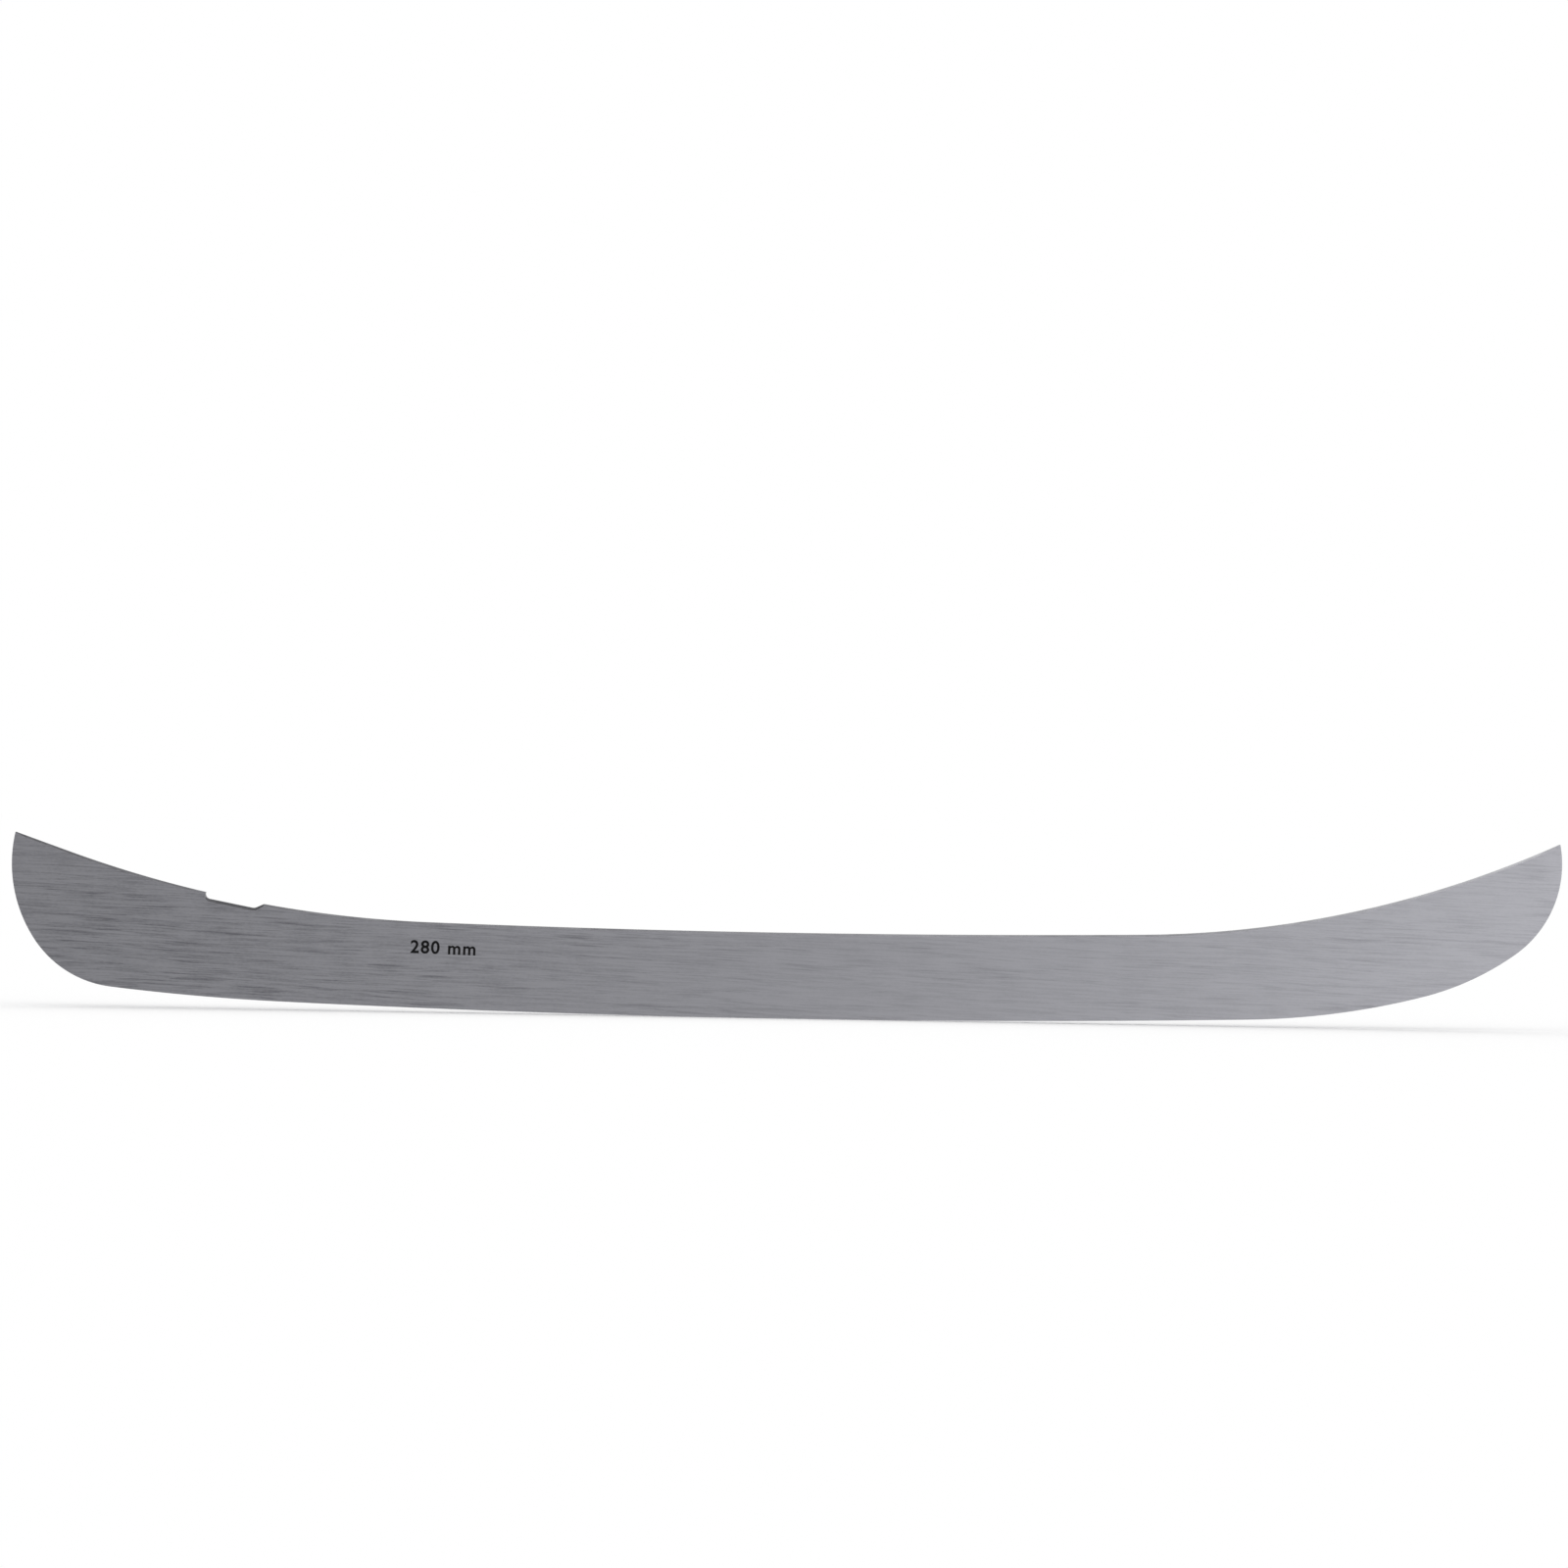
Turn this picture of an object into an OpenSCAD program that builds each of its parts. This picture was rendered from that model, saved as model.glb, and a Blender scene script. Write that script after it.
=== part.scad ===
// Hockey skate blade: the replaceable steel runner that fits into a blade holder.
// X runs forward to the toe, Y across the blade and Z up. The origin is the point at mid-length
// where the rocker touches level ice. Lengths are in millimetres and slopes in degrees.

/* [Blade] */
// Length from the back of the heel to the nose of the toe
blade_l = 280; // [240:1:306]
// Thickness of the steel
blade_t = 3; // [2.6:0.1:4]
// Height of the waist, from the running edge to the top edge
blade_h = 15.5; // [12:0.1:20]

/* [Running edge] */
// Radius of the rocker, the long arc that the blade glides on
rocker_r = 2743; // [2100:1:4000]
// Radius of the hollow that is ground along the running edge
hollow_r = 12.7; // [9.5:0.1:25.4]

/* [Heel] */
// Radius of the arc behind the rocker
heel_run_r = 410; // [250:1:600]
// Slope at which that arc ends
heel_run_a = 6.2; // [5:0.1:9]
// Radius of the heel's lower corner
heel_corner_r = 19.2; // [12:0.1:24]
// Slope at which the corner ends
heel_corner_a = 55.6; // [40:0.1:70]
// Radius of the back of the heel
heel_back_r = 25; // [20:0.1:32]

/* [Toe] */
// Radius of the arc in front of the rocker
toe_run_r = 136; // [100:1:200]
// Slope at which that arc ends
toe_run_a = 15.1; // [10:0.1:20]
// Radius of the toe's lower bend
toe_bend_r = 50; // [35:0.1:70]
// Slope at which the bend ends
toe_bend_a = 36.2; // [28:0.1:45]
// Radius of the nose
toe_nose_r = 20; // [15:0.1:26]

/* [Top edge] */
// Length of the waist, over which the blade keeps its height
waist_l = 129.5; // [90:0.5:150]
// Radius of the saddle that rises towards the heel
heel_saddle_r = 214.6; // [150:0.1:280]
// Slope of the straight ramp from that saddle to the tip of the heel
heel_ramp_a = 19.1; // [15:0.1:24]
// Radius of the saddle that rises to the tip of the toe
toe_saddle_r = 187; // [150:0.1:240]
// Width of the chamfer along both sides of the top edge
top_chamfer = 0.3; // [0.1:0.05:0.6]

/* [Latch notch] */
// Distance from mid-length back to the middle of the notch
notch_x = 99.7; // [85:0.1:115]
// Length of the notch along the top edge
notch_l = 10.6; // [7:0.1:15]
// Depth of the notch below the top edge
notch_d = 1; // [0.6:0.05:1.5]
// Fillet between the notch's rear wall and its floor
notch_rear_r = 0.9; // [0.3:0.1:1.2]
// Fillet between the notch's floor and its front ramp
notch_front_r = 1.5; // [0.5:0.1:2.5]
// Slope of the front ramp against the floor
notch_ramp_a = 35; // [25:1:60]

/* [Hidden] */
$fn = 256;

half_l = blade_l / 2;
half_t = blade_t / 2;
// Depth of the hollow, from both edges to the middle of the thickness
hollow_d = hollow_r - sqrt(hollow_r * hollow_r - half_t * half_t);
// A slope that lies beyond the tip of the heel, of the toe and of the toe's saddle
past_tip_a = 150;
past_saddle_a = 60;

// The arcs of the running edge beyond the rocker, each with its radius and the slope at which it ends
heel_end = [[heel_run_r, heel_run_a], [heel_corner_r, heel_corner_a], [heel_back_r, past_tip_a]];
toe_end = [[toe_run_r, toe_run_a], [toe_bend_r, toe_bend_a], [toe_nose_r, past_tip_a]];
// The whole running edge from mid-length to the heel, and from mid-length to the toe
heel_edge = concat([[rocker_r, rocker_end_a(heel_end)]], heel_end);
toe_edge = concat([[rocker_r, rocker_end_a(toe_end)]], toe_end);

// The waist is concentric with the rocker, and ends in the saddles at this slope
waist_r = rocker_r - blade_h;
waist_a = asin(waist_l / 2 / waist_r);
heel_top = [[waist_r, waist_a], [heel_saddle_r, heel_ramp_a]];
toe_top = [[waist_r, waist_a], [toe_saddle_r, past_saddle_a]];
// Slope of the top edge at the middle of the notch
notch_a = asin((notch_x - (waist_r - heel_saddle_r) * sin(waist_a)) / heel_saddle_r);

// Height of the blank, which holds both tips, and the room that a cutter has around it
blank_h = max(top_of(heel_edge), top_of(toe_edge));
room = 1;
// Length and clearance of the slice that takes away the film between two passes of a cutter
film_l = 0.2;
film_gap = 0.02;

// The way from the centre of the first of a row of tangent arcs to the centre of the last
function centre_way(arcs, i = 0) = i == len(arcs) - 1 ? [0, 0]
    : (arcs[i][0] - arcs[i + 1][0]) * [sin(arcs[i][1]), -cos(arcs[i][1])] + centre_way(arcs, i + 1);

function last_r(arcs) = arcs[len(arcs) - 1][0];

// Slope at which the rocker has to end for the arcs beyond it to reach just half the blade's length
function rocker_end_a(arcs) =
    asin((half_l - centre_way(arcs)[0] - last_r(arcs)) / (rocker_r - arcs[0][0]));

// Slope that a pass takes up in the room beyond its end
function spare_a(r) = room / r * 180 / PI;

// Height of the highest point of the circle that a running edge ends in
function top_of(arcs) = arcs[0][0] + centre_way(arcs)[1] + last_r(arcs);

// How far an arc of a row turns
function turn_of(arcs, i) = arcs[i][1] - (i == 0 ? 0 : arcs[i - 1][1]);

// Moves from the centre of an arc, below which the arc starts, to that of the next arc in the row
module next_centre(arcs, i) {
    rotate([0, 0, turn_of(arcs, i)]) translate([0, arcs[i + 1][0] - arcs[i][0], 0]) children();
}

// Sweeps a section about the origin at a radius, between two slopes
module arc_pass(r, from, to) {
    rotate([0, 0, from - 90]) rotate_extrude(angle = to - from) translate([r, 0]) children();
}

// Sweeps a section along x from the lowest point of an arc about the origin
module straight_pass(r, l) {
    translate([0, -r, 0]) rotate([90, 0, 90]) linear_extrude(l) mirror([1, 0]) children();
}

// Everything that a pass over an arc about the origin can reach ahead of its lowest point
module ahead(r) {
    translate([0, -r - blank_h, -blank_h]) cube([blank_h, 2 * blank_h, 2 * blank_h]);
}

// Slice that takes away the film between two passes
module film(r) {
    translate([-film_l / 2, 0, 0]) straight_pass(r, film_l) children();
}

// Runs a cutter over the arcs of a row after the first one, each about its own centre, then straight on.
// The cutter's section is the first child, and a slightly smaller one for the film is the second.
module end_passes(arcs, straight_l, i = 1) {
    r = arcs[i][0];
    turn = turn_of(arcs, i);
    last = i == len(arcs) - 1;
    film(r) children(1);
    if (last && straight_l == 0)
        arc_pass(r, 0, turn) children(0);
    else difference() {
        arc_pass(r, 0, turn + spare_a(r)) children(0);
        rotate([0, 0, turn]) ahead(r);
    }
    if (!last)
        next_centre(arcs, i) end_passes(arcs, straight_l, i + 1) {
            children(0);
            children(1);
        }
    else if (straight_l > 0)
        rotate([0, 0, turn]) {
            film(r) children(1);
            straight_pass(r, straight_l) children(0);
        }
}

// Runs a cutter over a whole edge: the arc that both rows start with, then on to the toe and the heel
module edge_cut(toe, heel, heel_straight_l = 0) {
    r = toe[0][0];
    toe_a = toe[0][1];
    heel_a = heel[0][1];
    translate([0, rocker_r, 0]) {
        difference() {
            arc_pass(r, -heel_a - spare_a(r), toe_a + spare_a(r)) children(0);
            rotate([0, 0, toe_a]) ahead(r);
            mirror([1, 0, 0]) rotate([0, 0, heel_a]) ahead(r);
        }
        next_centre(toe, 0) end_passes(toe, 0) {
            children(0);
            children(1);
        }
        mirror([1, 0, 0]) next_centre(heel, 0) end_passes(heel, heel_straight_l) {
            children(0);
            children(1);
        }
    }
}

// Rim of the grinding wheel that leaves the hollow and both edges
module wheel_section(gap = 0) {
    translate([hollow_r - hollow_d, 0]) circle(hollow_r - gap);
}

// Cutter for the top edge, which flares over both chamfers
module top_section(gap = 0) {
    wide = half_t + room;
    narrow = half_t - top_chamfer;
    low = top_chamfer + room;
    translate([-gap, 0])
        polygon([[-blank_h, -wide], [low, -wide], [0, -narrow], [0, narrow], [low, wide], [-blank_h, wide]]);
}

module running_edge_cut() {
    edge_cut(toe_edge, heel_edge) {
        wheel_section();
        wheel_section(film_gap);
    }
}

module top_edge_cut() {
    edge_cut(toe_top, heel_top, heel_straight_l = half_l) {
        top_section();
        top_section(film_gap);
    }
}

// Outline of the notch: x along the top edge to the heel, y up from it
module notch_outline() {
    rear = notch_l / 2;
    floor_y = -notch_d;
    floor_end = notch_d / tan(notch_ramp_a) + notch_front_r * tan(notch_ramp_a / 2) - rear;
    polygon([
        [rear, room],
        [rear, floor_y + notch_rear_r],
        [rear - notch_rear_r, floor_y],
        [floor_end, floor_y],
        [floor_end, floor_y] + notch_front_r * [-sin(notch_ramp_a), 1 - cos(notch_ramp_a)],
        [-rear - room / tan(notch_ramp_a), room],
    ]);
    translate([rear - notch_rear_r, floor_y + notch_rear_r]) circle(notch_rear_r);
    translate([floor_end, floor_y + notch_front_r]) circle(notch_front_r);
}

module notch_cut() {
    translate([0, rocker_r, 0]) mirror([1, 0, 0]) next_centre(heel_top, 0)
        rotate([0, 0, notch_a - waist_a]) translate([0, -heel_saddle_r, 0])
            linear_extrude(blade_t + 2 * room, center = true) notch_outline();
}

module runner() {
    color("#8C8D91") difference() {
        translate([-half_l - room, -half_t, -room]) cube([blade_l + 2 * room, blade_t, blank_h + room]);
        rotate([90, 0, 0]) {
            running_edge_cut();
            top_edge_cut();
            notch_cut();
        }
    }
}

runner();
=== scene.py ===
"""A hockey skate blade: one runner of brushed stainless steel, hollow-ground along its rockered edge."""

import math

import bmesh
import bpy
from mathutils import Matrix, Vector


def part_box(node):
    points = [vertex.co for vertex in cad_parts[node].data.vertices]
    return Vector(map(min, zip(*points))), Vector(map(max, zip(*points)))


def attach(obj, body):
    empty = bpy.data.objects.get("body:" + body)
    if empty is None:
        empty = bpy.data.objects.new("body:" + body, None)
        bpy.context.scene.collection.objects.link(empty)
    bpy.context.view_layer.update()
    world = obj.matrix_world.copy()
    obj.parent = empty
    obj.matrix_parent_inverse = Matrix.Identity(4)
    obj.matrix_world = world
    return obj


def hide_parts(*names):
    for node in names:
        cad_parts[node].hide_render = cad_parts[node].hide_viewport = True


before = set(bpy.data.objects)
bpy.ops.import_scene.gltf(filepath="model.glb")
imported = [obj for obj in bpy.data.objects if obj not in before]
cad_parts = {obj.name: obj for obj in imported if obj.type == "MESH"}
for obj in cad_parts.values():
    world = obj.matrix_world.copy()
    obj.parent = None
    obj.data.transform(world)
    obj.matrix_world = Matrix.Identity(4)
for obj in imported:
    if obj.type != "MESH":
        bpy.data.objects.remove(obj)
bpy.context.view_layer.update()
scene = bpy.context.scene
scene.view_settings.view_transform = "Standard"

# Camera
# A long lens looks square at the side of the blade from two metres, rolled by one degree.
# The square picture spans 283.4 mm at the blade, which lies below the middle of the picture.
picture_w = 0.28342
camera_away = 2.0
camera_roll = math.radians(1)
aim_x = -0.00079
aim_z = 0.04238

lens = bpy.data.cameras.new("camera")
lens.lens = lens.sensor_width * camera_away / picture_w
camera = bpy.data.objects.new("camera", lens)
camera.location = (aim_x, -camera_away, aim_z)
camera.rotation_euler = (math.radians(90), -camera_roll, 0)
scene.collection.objects.link(camera)
scene.camera = camera

# Runner
# The blade itself: one bar of hardened stainless steel, cut to its outline and brushed along both sides.
# A grinding wheel then runs along the lower edge and leaves a shallow hollow between two sharp edges.
# The top edge sits in the groove of a blade holder. It keeps its dull cut surface and has small chamfers.


def linear(code):
    """An sRGB colour such as "#8C8D91", as linear red, green, blue and alpha."""
    shares = [int(code[i : i + 2], 16) / 255 for i in (1, 3, 5)]
    return [c / 12.92 if c <= 0.04045 else ((c + 0.055) / 1.055) ** 2.4 for c in shares] + [1]


def add_node(tree, kind, inputs=(), **settings):
    """Adds a node, sets its properties, and sets or links its inputs, which are named or counted."""
    made = tree.nodes.new(kind)
    for name, value in settings.items():
        setattr(made, name, value)
    for name, value in dict(inputs).items():
        by_name = [s for s in made.inputs if s.enabled and s.name == name]
        socket = by_name[0] if by_name else made.inputs[name]
        if isinstance(value, bpy.types.Node):
            value = next(s for s in value.outputs if s.enabled)
        if isinstance(value, bpy.types.NodeSocket):
            tree.links.new(value, socket)
        else:
            socket.default_value = value
    return made


def new_material(name):
    """A material and its node tree, which is still empty."""
    material = bpy.data.materials.new(name)
    material.use_nodes = True
    material.node_tree.nodes.clear()
    return material, material.node_tree


def finish_surface(tree, tone, colours, roughness, inputs):
    """Ends a material, whose colour and roughness go from the first to the second as its tone rises."""
    colour = {"Factor": tone, "A": linear(colours[0]), "B": linear(colours[1])}
    colour = add_node(tree, "ShaderNodeMix", colour, data_type="RGBA")
    rough = {"Value": tone, "To Min": roughness[0], "To Max": roughness[1]}
    rough = add_node(tree, "ShaderNodeMapRange", rough)
    inputs = {"Base Color": colour, "Roughness": rough, **inputs}
    shader = add_node(tree, "ShaderNodeBsdfPrincipled", inputs)
    add_node(tree, "ShaderNodeOutputMaterial", {"Surface": shader})


low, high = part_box("runner")
half_l = high.x
blade_t = high.y - low.y
grain_uv = "grain"

# Brushed stainless steel: an abrasive belt leaves short fine marks along the blade, 0.03 to 0.06 mm wide.
# Where they lie close or bite deep they join up to dark streaks, which are what shows from a distance.
# The marks scatter light more across the blade than along it, so the sheen is soft and drawn out upright.
steel_colours = ("#B4B4BA", "#85858B")
steel_rough = (0.4, 0.5)
steel_anisotropy = 0.6
quarter_turn = 0.25
bump_strength = 0.5
grain_depth = 0.000004
grain_size = (0.0095, 0.004, 0.00026)
mark_size = (0.004, 0.004, 0.00006)
speckle_size = (0.0006, 0.004, 0.0002)
cloud_size = (0.006, 0.008, 0.007)
scratch_size = (0.011, 0.004, 0.00026)
streak_size = (0.009, 0.004, 0.00034)
patch_size = (0.02, 0.008, 0.005)
sway_size = (0.05, 0.02, 0.016)
sway_h = 0.0016
grain_tilt = math.radians(2)
grain_start = 1.11
heel_bite_x = -0.1
toe_bite_x = 0.02
toe_bite = 0.42

brushed_steel, tree = new_material("brushed_stainless_steel")
place = add_node(tree, "ShaderNodeTexCoord").outputs["Object"]
along = add_node(tree, "ShaderNodeSeparateXYZ", {0: place}).outputs["X"]

# The belt sways a little
sway = add_node(tree, "ShaderNodeMapping", {"Vector": place, "Scale": sway_size}, vector_type="TEXTURE")
sway = add_node(tree, "ShaderNodeTexNoise", {"Vector": sway, "Scale": 1, "Detail": 1}).outputs["Color"]
swayed = {0: sway, 1: (0, 0, sway_h), 2: place}
swayed = add_node(tree, "ShaderNodeVectorMath", swayed, operation="MULTIPLY_ADD")

# Each pattern is a noise along the belt's way. A band of its values moves the tone between two limits.
noise = {}
tones = {}
for name, size, detail, roughness, band, limits, ramp in (
    ("grain", grain_size, 3, 0.55, (0.25, 0.75), (-0.3, 0.65), "LINEAR"),
    ("cloud", cloud_size, 2, 0.5, (0.3, 0.7), (-0.1, 0.1), "LINEAR"),
    ("speckle", speckle_size, 1, 0.5, (0.25, 0.75), (-0.15, 0.15), "LINEAR"),
    ("mark", mark_size, 2, 0.5, (0.25, 0.75), (-0.25, 0.25), "LINEAR"),
    ("streak", streak_size, 1, 0.5, (0.54, 0.68), (0, 0.5), "SMOOTHSTEP"),
    ("patch", patch_size, 1, 0.5, (0.38, 0.62), (0.15, 1), "SMOOTHSTEP"),
    ("scratch", scratch_size, 1, 0.5, (0.66, 0.74), (0, 0.4), "SMOOTHSTEP"),
):
    laid = {"Vector": swayed, "Location": (grain_start, 0, 0), "Rotation": (0, grain_tilt, 0)}
    laid = add_node(tree, "ShaderNodeMapping", {**laid, "Scale": size}, vector_type="TEXTURE")
    settings = {"Vector": laid, "Scale": 1, "Detail": detail, "Roughness": roughness}
    noise[name] = add_node(tree, "ShaderNodeTexNoise", settings).outputs[0]
    shown = {"Value": noise[name], "From Min": band[0], "From Max": band[1]}
    shown = {**shown, "To Min": limits[0], "To Max": limits[1]}
    tones[name] = add_node(tree, "ShaderNodeMapRange", shown, interpolation_type=ramp)

# The streaks come in patches, and all patterns fade towards the toe, where the belt bites less
streaks = {0: tones["streak"], 1: tones["patch"]}
tones["streak"] = add_node(tree, "ShaderNodeMath", streaks, operation="MULTIPLY")
tone = tones["grain"]
for name in ("cloud", "speckle", "mark", "streak", "scratch"):
    tone = add_node(tree, "ShaderNodeMath", {0: tone, 1: tones[name]}, operation="ADD")
bite = {"Value": along, "From Min": heel_bite_x, "From Max": toe_bite_x, "To Min": 1, "To Max": toe_bite}
bite = add_node(tree, "ShaderNodeMapRange", bite, interpolation_type="SMOOTHSTEP")
tone = add_node(tree, "ShaderNodeMath", {0: tone, 1: bite}, operation="MULTIPLY", use_clamp=True)
bump = {"Strength": bump_strength, "Distance": grain_depth, "Height": noise["grain"]}
bump = add_node(tree, "ShaderNodeBump", bump)
tangent = add_node(tree, "ShaderNodeTangent", direction_type="UV_MAP", uv_map=grain_uv)
metal = {"Metallic": 1, "Anisotropic": steel_anisotropy, "Anisotropic Rotation": quarter_turn}
finish_surface(tree, tone, steel_colours, steel_rough, {"Normal": bump, "Tangent": tangent, **metal})

# Ground stainless steel: the wheel leaves a bright hollow with close lines along the edge.
# Its lines are about 0.02 mm wide, too fine to show, so they are drawn six times as wide.
ground_colours = ("#D2D2D6", "#ACACB1")
ground_rough = (0.2, 0.32)
ground_anisotropy = 0.5
ground_depth = 0.000002
ground_size = (0.012, 0.00012, 1)

ground_steel, tree = new_material("ground_stainless_steel")
place = add_node(tree, "ShaderNodeUVMap", uv_map=grain_uv)
lines = {"Vector": place, "Scale": ground_size}
lines = add_node(tree, "ShaderNodeMapping", lines, vector_type="TEXTURE")
lines = {"Vector": lines, "Scale": 1, "Detail": 3, "Roughness": 0.6}
lines = add_node(tree, "ShaderNodeTexNoise", lines).outputs[0]
tone = add_node(tree, "ShaderNodeMapRange", {"Value": lines, "From Min": 0.3, "From Max": 0.7})
bump = {"Strength": bump_strength, "Distance": ground_depth, "Height": lines}
bump = add_node(tree, "ShaderNodeBump", bump)
tangent = add_node(tree, "ShaderNodeTangent", direction_type="UV_MAP", uv_map=grain_uv)
metal = {"Metallic": 1, "Anisotropic": ground_anisotropy, "Anisotropic Rotation": quarter_turn}
finish_surface(tree, tone, ground_colours, ground_rough, {"Normal": bump, "Tangent": tangent, **metal})

# Laser-cut stainless steel: the beam leaves fine upright ripples across the edge and a thin dull oxide.
# A tumbler rounds off the ripples and leaves the surface satin. The edge is painted darker at the heel
# and lighter at the toe, as painted shade and painted highlight along the chamfers.
cut_colours = ("#B2B2B6", "#78787C")
cut_rough = (0.2, 0.28)
ripple_size = (0.00028, 0.006, 1)
ripple_depth = 0.000003
ripple_share = 0.4
blush_size = (0.004, 0.003, 1)
# Painted shade is full at the heel end and painted highlight at the toe end, and the last value is how
# far they move the tone
painted_shade_heel_x = -0.05
painted_highlight_toe_x = 0.04
painted_light_swing = 0.35

cut_steel, tree = new_material("laser_cut_stainless_steel")
place = add_node(tree, "ShaderNodeUVMap", uv_map=grain_uv)
noise = {}
for name, size in (("ripple", ripple_size), ("blush", blush_size)):
    laid = add_node(tree, "ShaderNodeMapping", {"Vector": place, "Scale": size}, vector_type="TEXTURE")
    settings = {"Vector": laid, "Scale": 1, "Detail": 2, "Roughness": 0.5}
    noise[name] = add_node(tree, "ShaderNodeTexNoise", settings).outputs[0]
tone = {0: noise["ripple"], 1: ripple_share, 2: noise["blush"]}
tone = add_node(tree, "ShaderNodeMath", tone, operation="MULTIPLY_ADD")
along = add_node(tree, "ShaderNodeTexCoord").outputs["Object"]
along = add_node(tree, "ShaderNodeSeparateXYZ", {0: along}).outputs["X"]
# Painted shade and painted highlight: the cut steel is made darker towards the heel and lighter towards
# the toe
painted_edge_light = {"Value": along, "From Min": painted_shade_heel_x, "From Max": painted_highlight_toe_x}
painted_edge_light = {**painted_edge_light, "To Min": painted_light_swing, "To Max": -painted_light_swing}
painted_edge_light = add_node(tree, "ShaderNodeMapRange", painted_edge_light, interpolation_type="SMOOTHSTEP")
tone = add_node(tree, "ShaderNodeMath", {0: tone, 1: painted_edge_light}, operation="ADD")
tone = add_node(tree, "ShaderNodeMapRange", {"Value": tone, "From Min": 0.1, "From Max": 1.3})
bump = {"Strength": bump_strength, "Distance": ripple_depth, "Height": noise["ripple"]}
bump = add_node(tree, "ShaderNodeBump", bump)
finish_surface(tree, tone, cut_colours, cut_rough, {"Normal": bump, "Metallic": 1})

# The outline is drawn as complex numbers, x forward and z up, from mid-length to each tip.
# The heel is drawn as if it pointed forward, and is turned round once it is done.
# At each end both edges have equally many steps, because the section is carried along them in pairs.
blade_h = 0.0155
rocker_r = 2.743
heel_run_r = 0.410
heel_run_a = math.radians(6.2)
heel_corner_r = 0.0192
heel_corner_a = math.radians(55.6)
heel_back_r = 0.025
toe_run_r = 0.136
toe_run_a = math.radians(15.1)
toe_bend_r = 0.050
toe_bend_a = math.radians(36.2)
toe_nose_r = 0.020
waist_l = 0.1295
heel_saddle_r = 0.2146
heel_ramp_a = math.radians(19.1)
toe_saddle_r = 0.187
notch_x = 0.0997
notch_l = 0.0106
notch_d = 0.001
notch_rear_r = 0.0009
notch_front_r = 0.0015
notch_ramp_a = math.radians(35)
past_tip_a = math.radians(120)

# Share of the chamfer along the top edge: more in the notch, little on its steep wall and at both tips
notch_share = 1.6
wall_share = 0.15
tip_share = 0.1
wall_steps = 3
tip_steps = 6


def spoke(slope):
    """The way from the centre of an arc to the point where the arc has that slope."""
    return complex(math.sin(slope), -math.cos(slope))


def arc(row, radius, slope, end, steps):
    """Carries a row of points on along an arc, from one slope to another."""
    centre = row[-1] - radius * spoke(slope)
    return row + [centre + radius * spoke(slope + (end - slope) * i / steps) for i in range(1, steps + 1)]


def line(row, stop, steps):
    """Carries a row of points or values on in a straight line."""
    start = row[-1]
    return row + [start + (stop - start) * i / steps for i in range(1, steps + 1)]


def keep_pace(shares, stop, row):
    """Carries the chamfer's shares on to a new value, over the steps that their row has gained."""
    return line(shares, stop, len(row) - len(shares))


def crossing(gap, near, far, halvings=60):
    """The slope between near and far at which a gap that opens or closes on the way is nothing."""
    for _ in range(halvings):
        middle = (near + far) / 2
        if gap(near) * gap(middle) > 0:
            near = middle
        else:
            far = middle
    return near


def rocker_end(run_r, run_a, bend_r, bend_a, tip_r):
    """Slope at which the rocker ends, for the arcs beyond it to reach just half the blade's length."""
    beyond = (run_r - bend_r) * math.sin(run_a) + (bend_r - tip_r) * math.sin(bend_a) + tip_r
    return math.asin((half_l - beyond) / (rocker_r - run_r))


waist_r = rocker_r - blade_h
waist_a = math.asin(waist_l / 2 / waist_r)
waist = arc([complex(0, blade_h)], waist_r, 0, waist_a, steps=50)

# Toe: the running edge and the top edge meet at the tip, where the nose cuts the saddle
toe_rocker_a = rocker_end(toe_run_r, toe_run_a, toe_bend_r, toe_bend_a, toe_nose_r)
toe_low = arc([0j], rocker_r, 0, toe_rocker_a, steps=60)
toe_low = arc(toe_low, toe_run_r, toe_rocker_a, toe_run_a, steps=40)
toe_low = arc(toe_low, toe_bend_r, toe_run_a, toe_bend_a, steps=30)
nose = toe_low[-1] - toe_nose_r * spoke(toe_bend_a)
toe_saddle = waist[-1] - toe_saddle_r * spoke(waist_a)


def nose_to_saddle(slope):
    """How far a point of the nose lies off the saddle."""
    return abs(nose + toe_nose_r * spoke(slope) - toe_saddle) - toe_saddle_r


nose_end = crossing(nose_to_saddle, toe_bend_a, past_tip_a)
toe_low = arc(toe_low, toe_nose_r, toe_bend_a, nose_end, steps=30)
saddle_way = toe_low[-1] - toe_saddle
saddle_end = math.atan2(saddle_way.real, -saddle_way.imag)
toe_top = arc(waist, toe_saddle_r, waist_a, saddle_end, steps=110)
toe_shares = keep_pace([1] * (len(toe_top) - tip_steps), tip_share, toe_top)

# Heel: the saddle holds the notch and runs out in a straight ramp to the tip
heel_rocker_a = rocker_end(heel_run_r, heel_run_a, heel_corner_r, heel_corner_a, heel_back_r)
heel_low = arc([0j], rocker_r, 0, heel_rocker_a, steps=65)
heel_low = arc(heel_low, heel_run_r, heel_rocker_a, heel_run_a, steps=85)
heel_low = arc(heel_low, heel_corner_r, heel_run_a, heel_corner_a, steps=24)
heel_saddle = waist[-1] - heel_saddle_r * spoke(waist_a)
notch_a = math.asin((notch_x - heel_saddle.real) / heel_saddle_r)
notch = heel_saddle + heel_saddle_r * spoke(notch_a)
notch_way = complex(math.cos(notch_a), math.sin(notch_a))
rear = notch_l / 2
floor_end = notch_d / math.tan(notch_ramp_a) + notch_front_r * math.tan(notch_ramp_a / 2) - rear


def on_saddle(slope):
    """Place of a point of the saddle, along the notch and up from it."""
    return (heel_saddle + heel_saddle_r * spoke(slope) - notch) / notch_way


def saddle_to_ramp(slope):
    """How far a point of the saddle lies off the notch's front ramp."""
    reach = on_saddle(slope) + rear
    return reach.imag + reach.real * math.tan(notch_ramp_a)


def saddle_to_wall(slope):
    """How far a point of the saddle lies off the notch's rear wall."""
    return on_saddle(slope).real - rear


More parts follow.
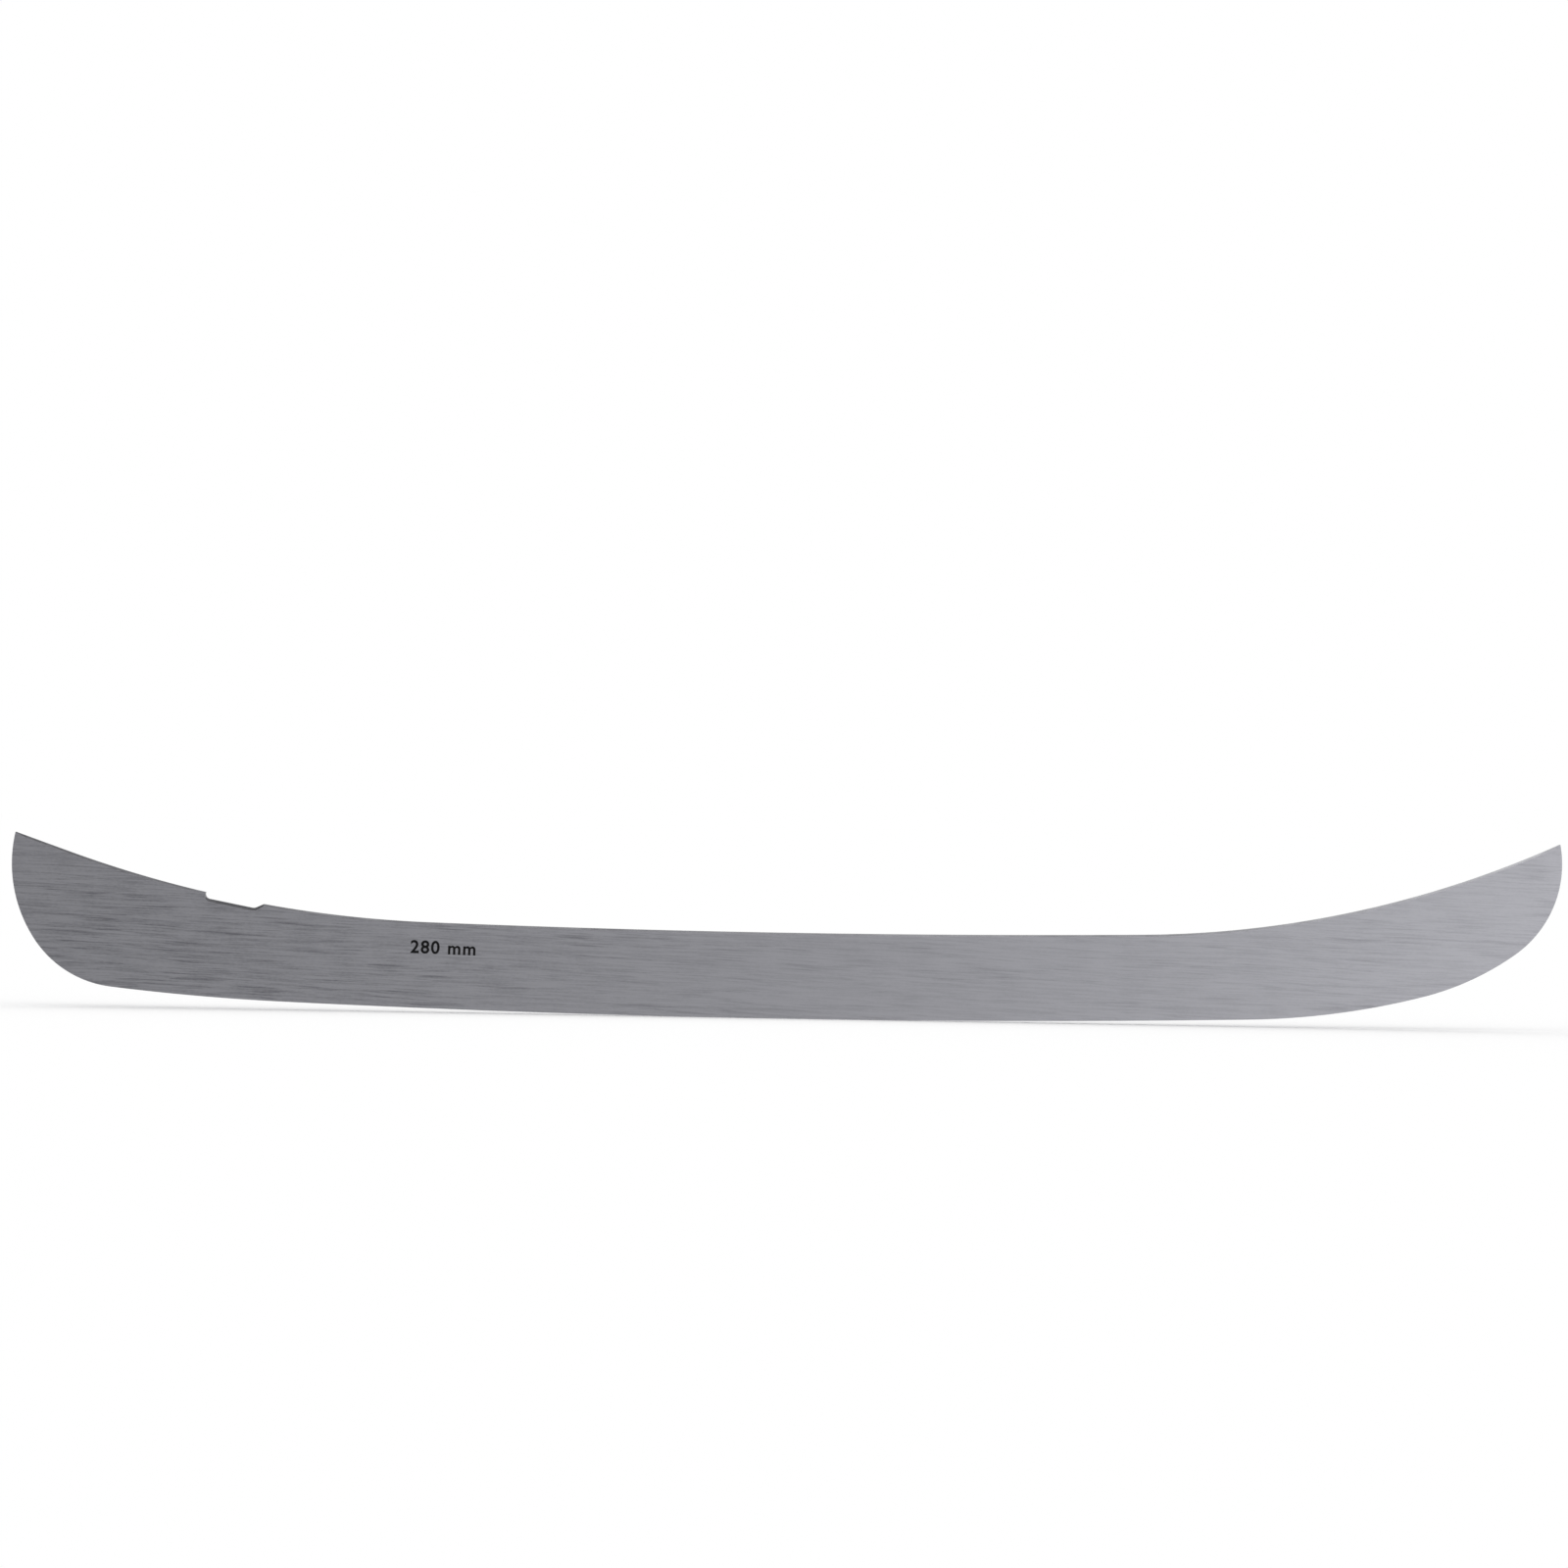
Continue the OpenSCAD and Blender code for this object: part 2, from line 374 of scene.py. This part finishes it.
front_a = crossing(saddle_to_ramp, waist_a, notch_a)
rear_a = crossing(saddle_to_wall, notch_a, heel_ramp_a)
front_fillet = complex(floor_end, notch_front_r - notch_d) + notch_front_r * spoke(-notch_ramp_a)
rear_fillet = complex(rear - notch_rear_r, -notch_d)
heel_top = arc(waist, heel_saddle_r, waist_a, front_a, steps=25)
heel_shares = [1] * len(heel_top)
heel_top = line(heel_top, notch + front_fillet * notch_way, steps=6)
heel_shares = keep_pace(heel_shares, notch_share, heel_top)
heel_top = arc(heel_top, notch_front_r, notch_a - notch_ramp_a, notch_a, steps=8)
heel_top = line(heel_top, notch + rear_fillet * notch_way, steps=30)
heel_shares = keep_pace(heel_shares, notch_share, heel_top)
heel_top = arc(heel_top, notch_rear_r, notch_a, notch_a + math.pi / 2, steps=12)
heel_shares = keep_pace(heel_shares, wall_share, heel_top)
heel_top = line(heel_top, notch + on_saddle(rear_a) * notch_way, steps=4)
heel_shares = keep_pace(heel_shares, wall_share, heel_top)
heel_shares = line(heel_shares, 1, wall_steps)
heel_top = arc(heel_top, heel_saddle_r, rear_a, heel_ramp_a, steps=30)
back = heel_low[-1] - heel_back_r * spoke(heel_corner_a)
ramp_start = heel_top[-1]
ramp_way = complex(math.cos(heel_ramp_a), math.sin(heel_ramp_a))


def back_to_ramp(slope):
    """How far a point of the back of the heel lies off the straight ramp."""
    return ((back + heel_back_r * spoke(slope) - ramp_start) / ramp_way).imag


back_end = crossing(back_to_ramp, heel_corner_a, past_tip_a)
heel_low = arc(heel_low, heel_back_r, heel_corner_a, back_end, steps=20)
heel_top = line(heel_top, heel_low[-1], steps=29)
heel_shares += [1] * (len(heel_top) - len(heel_shares) - tip_steps)
heel_shares = keep_pace(heel_shares, tip_share, heel_top)


def whole(heel, toe):
    """Both halves of an edge as one row, from the tip of the heel to the tip of the toe."""
    return [-p.conjugate() for p in reversed(heel)] + toe[1:]


def into_steel(row, turn):
    """At each point, the way that an edge moves when it is offset by one unit into the steel."""
    ways = [(b - a) / abs(b - a) for a, b in zip(row, row[1:])]
    pairs = zip(ways[:1] + ways, ways + ways[-1:])
    return [turn * (a + b) / (1 + (a * b.conjugate()).real) for a, b in pairs]


running_edge = whole(heel_low, toe_low)
top_edge = whole(heel_top, toe_top)
links = [(i, i + 1) for i in range(len(running_edge) - 1)]
path = bpy.data.meshes.new("runner")
path.from_pydata([(p.real, 0, p.imag) for p in running_edge], links, [])
for name, row in {
    "path_inward": into_steel(running_edge, 1j),
    "path_top": top_edge,
    "path_top_inward": into_steel(top_edge, -1j),
}.items():
    held = path.attributes.new(name, "FLOAT_VECTOR", "POINT")
    held.data.foreach_set("vector", [x for p in row for x in (p.real, 0, p.imag)])
held = path.attributes.new("path_chamfer_share", "FLOAT", "POINT")
held.data.foreach_set("value", heel_shares[::-1] + toe_shares[1:])

# The tree carries a section along the running edge: a ring of rows that starts as a square from -1 to 1.
# Its lower side becomes the hollow, its upper side the chamfered top, and the rest the brushed sides.
hollow_r = 0.0127
top_chamfer = 0.0003
section_rows = 10
fade_chamfers = 2
weld_gap = 0.000001
crease_a = math.radians(20)
row_slack = 0.001

tree = bpy.data.node_groups.new("ground_runner", "GeometryNodeTree")
tree.is_modifier = True
for name, kind in {
    "Geometry": "NodeSocketGeometry",
    "Thickness": "NodeSocketFloat",
    "Hollow Radius": "NodeSocketFloat",
    "Top Chamfer": "NodeSocketFloat",
    "Rows": "NodeSocketInt",
    "Side Steel": "NodeSocketMaterial",
    "Hollow Steel": "NodeSocketMaterial",
    "Top Steel": "NodeSocketMaterial",
}.items():
    tree.interface.new_socket(name, in_out="INPUT", socket_type=kind)
tree.interface.new_socket("Geometry", in_out="OUTPUT", socket_type="NodeSocketGeometry")
sizes = add_node(tree, "NodeGroupInput").outputs

here = add_node(tree, "GeometryNodeInputPosition").outputs[0]
cuts = add_node(tree, "ShaderNodeMath", {0: sizes["Rows"], 1: 1}, operation="SUBTRACT")
ring = add_node(tree, "GeometryNodeCurvePrimitiveQuadrilateral", {"Width": 2, "Height": 2})
ring = add_node(tree, "GeometryNodeSubdivideCurve", {"Curve": ring, "Cuts": cuts})
ring_place = add_node(tree, "GeometryNodeCaptureAttribute", {"Geometry": ring})
ring_place.capture_items.new("VECTOR", "Place")
tree.links.new(here, ring_place.inputs["Place"])

run = add_node(tree, "GeometryNodeSplineParameter").outputs["Length"]
edge = add_node(tree, "GeometryNodeMeshToCurve", {"Mesh": sizes["Geometry"]})
edge_place = add_node(tree, "GeometryNodeCaptureAttribute", {"Geometry": edge})
edge_place.capture_items.new("VECTOR", "Place")
edge_place.capture_items.new("FLOAT", "Run")
tree.links.new(here, edge_place.inputs["Place"])
tree.links.new(run, edge_place.inputs["Run"])
swept = {"Curve": edge_place, "Profile Curve": ring_place}
swept = add_node(tree, "GeometryNodeCurveToMesh", swept)

# Where less height is left than two chamfers, right at the tips, the hollow and the chamfers run out
bottom = edge_place.outputs["Place"]
top = add_node(tree, "GeometryNodeInputNamedAttribute", {"Name": "path_top"}, data_type="FLOAT_VECTOR")
height = add_node(tree, "ShaderNodeVectorMath", {0: bottom, 1: top}, operation="DISTANCE")
fade_h = {0: sizes["Top Chamfer"], 1: fade_chamfers}
fade_h = add_node(tree, "ShaderNodeMath", fade_h, operation="MULTIPLY")
fade = add_node(tree, "ShaderNodeMapRange", {"Value": height, "From Max": fade_h})

# A chamfer may be deeper than it is wide, as in the notch, but never wider than the plain one
share = {"Name": "path_chamfer_share"}
share = add_node(tree, "GeometryNodeInputNamedAttribute", share, data_type="FLOAT")
share = add_node(tree, "ShaderNodeMath", {0: share, 1: fade}, operation="MULTIPLY")
chamfer_d = add_node(tree, "ShaderNodeMath", {0: sizes["Top Chamfer"], 1: share}, operation="MULTIPLY")
chamfer_w = add_node(tree, "ShaderNodeMath", {0: chamfer_d, 1: sizes["Top Chamfer"]}, operation="MINIMUM")

# Across the blade: the outermost row on each side of the section is as wide as the chamfer
ring_axes = add_node(tree, "ShaderNodeSeparateXYZ", {0: ring_place.outputs["Place"]}).outputs
up = add_node(tree, "ShaderNodeMapRange", {"Value": ring_axes["Y"], "From Min": -1, "From Max": 1})
half_t = add_node(tree, "ShaderNodeMath", {0: sizes["Thickness"], 1: 2}, operation="DIVIDE")
flat_t = add_node(tree, "ShaderNodeMath", {0: half_t, 1: chamfer_w}, operation="SUBTRACT")
row_w = add_node(tree, "ShaderNodeMath", {0: 2, 1: sizes["Rows"]}, operation="DIVIDE")
last_row = add_node(tree, "ShaderNodeMath", {0: 1, 1: row_w}, operation="SUBTRACT")
side = add_node(tree, "ShaderNodeMath", {0: ring_axes["X"]}, operation="SIGN")
out = add_node(tree, "ShaderNodeMath", {0: ring_axes["X"]}, operation="ABSOLUTE")
inner = add_node(tree, "ShaderNodeMapRange", {"Value": out, "From Max": last_row, "To Max": flat_t})
outer = add_node(tree, "ShaderNodeMapRange", {"Value": out, "From Min": last_row})
across = {0: outer, 1: chamfer_w, 2: inner}
across = add_node(tree, "ShaderNodeMath", across, operation="MULTIPLY_ADD")
across = add_node(tree, "ShaderNodeMath", {0: across, 1: side}, operation="MULTIPLY")

# Depth of the hollow: the rim of the wheel is a circle through both edges
hollow_2 = add_node(tree, "ShaderNodeMath", {0: sizes["Hollow Radius"], 1: 2}, operation="POWER")
across_2 = add_node(tree, "ShaderNodeMath", {0: across, 1: across}, operation="MULTIPLY")
half_2 = add_node(tree, "ShaderNodeMath", {0: half_t, 1: half_t}, operation="MULTIPLY")
rim = add_node(tree, "ShaderNodeMath", {0: hollow_2, 1: across_2}, operation="SUBTRACT")
rim = add_node(tree, "ShaderNodeMath", {0: rim}, operation="SQRT")
rim_edge = add_node(tree, "ShaderNodeMath", {0: hollow_2, 1: half_2}, operation="SUBTRACT")
rim_edge = add_node(tree, "ShaderNodeMath", {0: rim_edge}, operation="SQRT")
hollow = add_node(tree, "ShaderNodeMath", {0: rim, 1: rim_edge}, operation="SUBTRACT")

# Up the blade: the lower rows move into the steel by the hollow, the upper ones by the chamfer
inward = {"Name": "path_inward"}
inward = add_node(tree, "GeometryNodeInputNamedAttribute", inward, data_type="FLOAT_VECTOR")
top_inward = {"Name": "path_top_inward"}
top_inward = add_node(tree, "GeometryNodeInputNamedAttribute", top_inward, data_type="FLOAT_VECTOR")
hollow = add_node(tree, "ShaderNodeMath", {0: hollow, 1: fade}, operation="MULTIPLY")
chamfer = add_node(tree, "ShaderNodeMath", {0: outer, 1: chamfer_d}, operation="MULTIPLY")
hollow = add_node(tree, "ShaderNodeVectorMath", {0: inward, "Scale": hollow}, operation="SCALE")
chamfer = add_node(tree, "ShaderNodeVectorMath", {0: top_inward, "Scale": chamfer}, operation="SCALE")
bottom = add_node(tree, "ShaderNodeVectorMath", {0: bottom, 1: hollow}, operation="ADD")
top = add_node(tree, "ShaderNodeVectorMath", {0: top, 1: chamfer}, operation="ADD")
spot = add_node(tree, "ShaderNodeMix", {"Factor": up, "A": bottom, "B": top}, data_type="VECTOR")
shift = add_node(tree, "ShaderNodeCombineXYZ", {"Y": across})
spot = add_node(tree, "ShaderNodeVectorMath", {0: spot, 1: shift}, operation="ADD")
steel = add_node(tree, "GeometryNodeSetPosition", {"Geometry": swept, "Position": spot})

# Each face keeps its height in the section, and the rows that close up at the tips are welded
face_place = add_node(tree, "GeometryNodeCaptureAttribute", {"Geometry": steel}, domain="FACE")
face_place.capture_items.new("FLOAT", "Up")
tree.links.new(up.outputs[0], face_place.inputs["Up"])
face_up = face_place.outputs["Up"]
steel = add_node(tree, "GeometryNodeMergeByDistance", {"Geometry": face_place, "Distance": weld_gap})

# Smooth along the arcs and over the hollow, sharp at every real edge
angle = add_node(tree, "GeometryNodeInputMeshEdgeAngle").outputs["Unsigned Angle"]
sharp = add_node(tree, "FunctionNodeCompare", {"A": angle, "B": crease_a}, operation="GREATER_THAN")
steel = add_node(tree, "GeometryNodeSetShadeSmooth", {"Geometry": steel}, domain="FACE")
steel = {"Geometry": steel, "Selection": sharp, "Shade Smooth": False}
steel = add_node(tree, "GeometryNodeSetShadeSmooth", steel, domain="EDGE")

# The grain map runs along the blade on the sides, and along the edge on the hollow and the top
is_hollow = add_node(tree, "FunctionNodeCompare", {"A": face_up, "B": row_slack}, operation="LESS_THAN")
is_top = {"A": face_up, "B": 1 - row_slack}
is_top = add_node(tree, "FunctionNodeCompare", is_top, operation="GREATER_THAN")
is_edge = add_node(tree, "FunctionNodeBooleanMath", {0: is_hollow, 1: is_top}, operation="OR")
axes = add_node(tree, "ShaderNodeSeparateXYZ", {0: here}).outputs
side_map = add_node(tree, "ShaderNodeCombineXYZ", {"X": axes["X"], "Y": axes["Z"]})
edge_map = add_node(tree, "ShaderNodeCombineXYZ", {"X": edge_place.outputs["Run"], "Y": axes["Y"]})
grain_map = {"Switch": is_edge, "False": side_map, "True": edge_map}
grain_map = add_node(tree, "GeometryNodeSwitch", grain_map, input_type="VECTOR")
steel = {"Geometry": steel, "Name": grain_uv, "Value": grain_map}
steel = add_node(tree, "GeometryNodeStoreNamedAttribute", steel, domain="CORNER", data_type="FLOAT2")
steel = {"Geometry": steel, "Name": "path_*"}
steel = add_node(tree, "GeometryNodeRemoveAttribute", steel, pattern_mode="WILDCARD")
steel = add_node(tree, "GeometryNodeRealizeInstances", {"Geometry": steel})
steel = add_node(tree, "GeometryNodeSetMaterial", {"Geometry": steel, "Material": sizes["Side Steel"]})
for faces, finish in ((is_hollow, sizes["Hollow Steel"]), (is_top, sizes["Top Steel"])):
    steel = {"Geometry": steel, "Selection": faces, "Material": finish}
    steel = add_node(tree, "GeometryNodeSetMaterial", steel)
add_node(tree, "NodeGroupOutput", {"Geometry": steel})

runner = bpy.data.objects.new("runner_steel", path)
scene.collection.objects.link(runner)
grind = runner.modifiers.new("grind", "NODES")
grind.node_group = tree
values = {
    "Thickness": blade_t,
    "Hollow Radius": hollow_r,
    "Top Chamfer": top_chamfer,
    "Rows": section_rows,
    "Side Steel": brushed_steel,
    "Hollow Steel": ground_steel,
    "Top Steel": cut_steel,
}
for item in tree.interface.items_tree:
    if item.in_out == "INPUT" and item.name in values:
        grind[item.identifier] = values[item.name]
runner_mesh = bpy.data.meshes.new_from_object(runner.evaluated_get(bpy.context.evaluated_depsgraph_get()))
runner.modifiers.remove(grind)
runner.data = runner_mesh
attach(runner, "root")
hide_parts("runner")

# Size mark
# The length of the blade in millimetres, pad-printed in black on the outer side, near the heel.
# It is a film of ink that reaches as deep into the grain of the steel as it stands proud of it.
mark_x = -0.0618
mark_z = 0.0116
mark_slope = math.radians(1.4)
figure_h = 0.0024
ink_proud = 0.00002
ink_weld_gap = 0.0000001

# Pad-printing ink: a dense black film, half matt, thinner in places where the pad let go.
ink_colours = ("#060607", "#141415")
ink_rough = (0.5, 0.62)
ink_gloss = 0.15
mottle_size = 0.0004

ink, tree = new_material("black_pad_printing_ink")
place = add_node(tree, "ShaderNodeTexCoord").outputs["Object"]
mottle = {"Vector": place, "Scale": 1 / mottle_size, "Detail": 3, "Roughness": 0.6}
mottle = add_node(tree, "ShaderNodeTexNoise", mottle)
tone = add_node(tree, "ShaderNodeMapRange", {"Value": mottle, "From Min": 0.5, "From Max": 0.75})
finish_surface(tree, tone, ink_colours, ink_rough, {"Specular IOR Level": ink_gloss})

# The words are drawn one unit thick, and brought to the size of the figures and the film
words = bpy.data.curves.new("size_mark", "FONT")
words.body = f"{1000 * (high.x - low.x):.0f} mm"
words.align_x = "CENTER"
words.align_y = "CENTER"
words.resolution_u = 6
words.extrude = 0.5
words.offset = 0.022
words.space_character = 1.15
draft = bpy.data.objects.new("size_mark_draft", words)
scene.collection.objects.link(draft)
mark_mesh = bpy.data.meshes.new_from_object(draft.evaluated_get(bpy.context.evaluated_depsgraph_get()))
bpy.data.objects.remove(draft)
heights = [v.co.y for v in mark_mesh.vertices]
scale = figure_h / (max(heights) - min(heights))
mark_mesh.transform(Matrix.Diagonal((scale, scale, 2 * ink_proud, 1)))
mark_mesh.transform(Matrix.Rotation(math.radians(90), 4, "X"))
mark_mesh.transform(Matrix.Rotation(mark_slope, 4, "Y"))
mark_mesh.transform(Matrix.Translation((mark_x, -blade_t / 2, mark_z)))
welded = bmesh.new()
welded.from_mesh(mark_mesh)
bmesh.ops.remove_doubles(welded, verts=welded.verts, dist=ink_weld_gap)
bmesh.ops.recalc_face_normals(welded, faces=welded.faces)
welded.to_mesh(mark_mesh)
welded.free()
mark_mesh.materials.clear()
mark_mesh.materials.append(ink)
mark = bpy.data.objects.new("size_mark", mark_mesh)
scene.collection.objects.link(mark)
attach(mark, "root")

# Floor
# A sheet of white studio paper under the blade, far wider than the picture.
# It is matt and takes the blade's soft shadow. The steel mirrors the tube of paper round it instead.
floor_w = 8.0
paper_white = "#FFFFFF"

paper, tree = new_material("white_paper")
matt = {"Base Color": linear(paper_white), "Roughness": 1, "Specular IOR Level": 0}
shader = add_node(tree, "ShaderNodeBsdfPrincipled", matt)
add_node(tree, "ShaderNodeOutputMaterial", {"Surface": shader})
corners = [(-floor_w, -floor_w, 0), (floor_w, -floor_w, 0), (floor_w, floor_w, 0), (-floor_w, floor_w, 0)]
sheet = bpy.data.meshes.new("floor")
sheet.from_pydata(corners, [], [(0, 1, 2, 3)])
sheet.materials.append(paper)
floor = bpy.data.objects.new("floor", sheet)
scene.collection.objects.link(floor)
floor.visible_glossy = False

# Studio light
# White light from all round, and a tube of graduated paper about the blade that only sheens show.
# Its walls grow lighter towards the toe, and a strip along the crown of its dim roof towards the heel.
tent_r = 1.0
tent_l = 4.0
tent_sides = 48
wall_x = 0.36
wall_curve = 3.2
wall_levels = (0.47, 1.8)
plain_x = (0.5, 0.8)
plain_level = 1.0
roof_z = (0.65, 0.9)
roof_level = 0.35
strip_z = (0.95, 0.975)
strip_end_x = (-0.5, -0.42)
strip_x = 0.2
strip_levels = (1.3, 0.47)

world = bpy.data.worlds.new("studio")
world.use_nodes = True
background = world.node_tree.nodes["Background"].inputs
background["Color"].default_value = linear(paper_white)
background["Strength"].default_value = 1
scene.world = world

tent_paper, tree = new_material("graduated_paper")
place = add_node(tree, "ShaderNodeTexCoord").outputs["Object"]
axes = add_node(tree, "ShaderNodeSeparateXYZ", {0: place}).outputs
wall = add_node(tree, "ShaderNodeMapRange", {"Value": axes["X"], "From Min": -wall_x, "From Max": wall_x})
wall = add_node(tree, "ShaderNodeMath", {0: wall, 1: wall_curve}, operation="POWER")
wall = {"Value": wall, "To Min": wall_levels[0], "To Max": wall_levels[1]}
wall = add_node(tree, "ShaderNodeMapRange", wall)
strip = {"Value": axes["X"], "From Min": -strip_x, "From Max": strip_x}
strip = {**strip, "To Min": strip_levels[0], "To Max": strip_levels[1]}
strip = add_node(tree, "ShaderNodeMapRange", strip)
far = add_node(tree, "ShaderNodeMath", {0: axes["X"]}, operation="ABSOLUTE")
soft = {}
for name, value, start, end in (
    ("plain", far, *plain_x),
    ("crown", axes["Z"], *strip_z),
    ("strip_end", axes["X"], *strip_end_x),
    ("roof", axes["Z"], *roof_z),
):
    edge = {"Value": value, "From Min": start, "From Max": end}
    soft[name] = add_node(tree, "ShaderNodeMapRange", edge, interpolation_type="SMOOTHSTEP")
wall = {"Factor": soft["plain"], "A": wall, "B": plain_level}
wall = add_node(tree, "ShaderNodeMix", wall, data_type="FLOAT")
crown = {0: soft["crown"], 1: soft["strip_end"]}
crown = add_node(tree, "ShaderNodeMath", crown, operation="MULTIPLY")
roof = add_node(tree, "ShaderNodeMix", {"Factor": crown, "A": roof_level, "B": strip}, data_type="FLOAT")
level = add_node(tree, "ShaderNodeMix", {"Factor": soft["roof"], "A": wall, "B": roof}, data_type="FLOAT")
glow = add_node(tree, "ShaderNodeEmission", {"Color": linear(paper_white), "Strength": level})
add_node(tree, "ShaderNodeOutputMaterial", {"Surface": glow})
angles = [math.tau * i / tent_sides for i in range(tent_sides)]
ends = (-tent_l / 2, tent_l / 2)
spots = [(x, tent_r * math.cos(a), tent_r * math.sin(a)) for x in ends for a in angles]
panels = []
for i in range(tent_sides):
    after = (i + 1) % tent_sides
    panels.append((i, after, tent_sides + after, tent_sides + i))
tube = bpy.data.meshes.new("tent")
tube.from_pydata(spots, [], panels)
tube.materials.append(tent_paper)
tent = bpy.data.objects.new("tent", tube)
scene.collection.objects.link(tent)
tent.visible_camera = False
tent.visible_diffuse = False
tent.visible_shadow = False
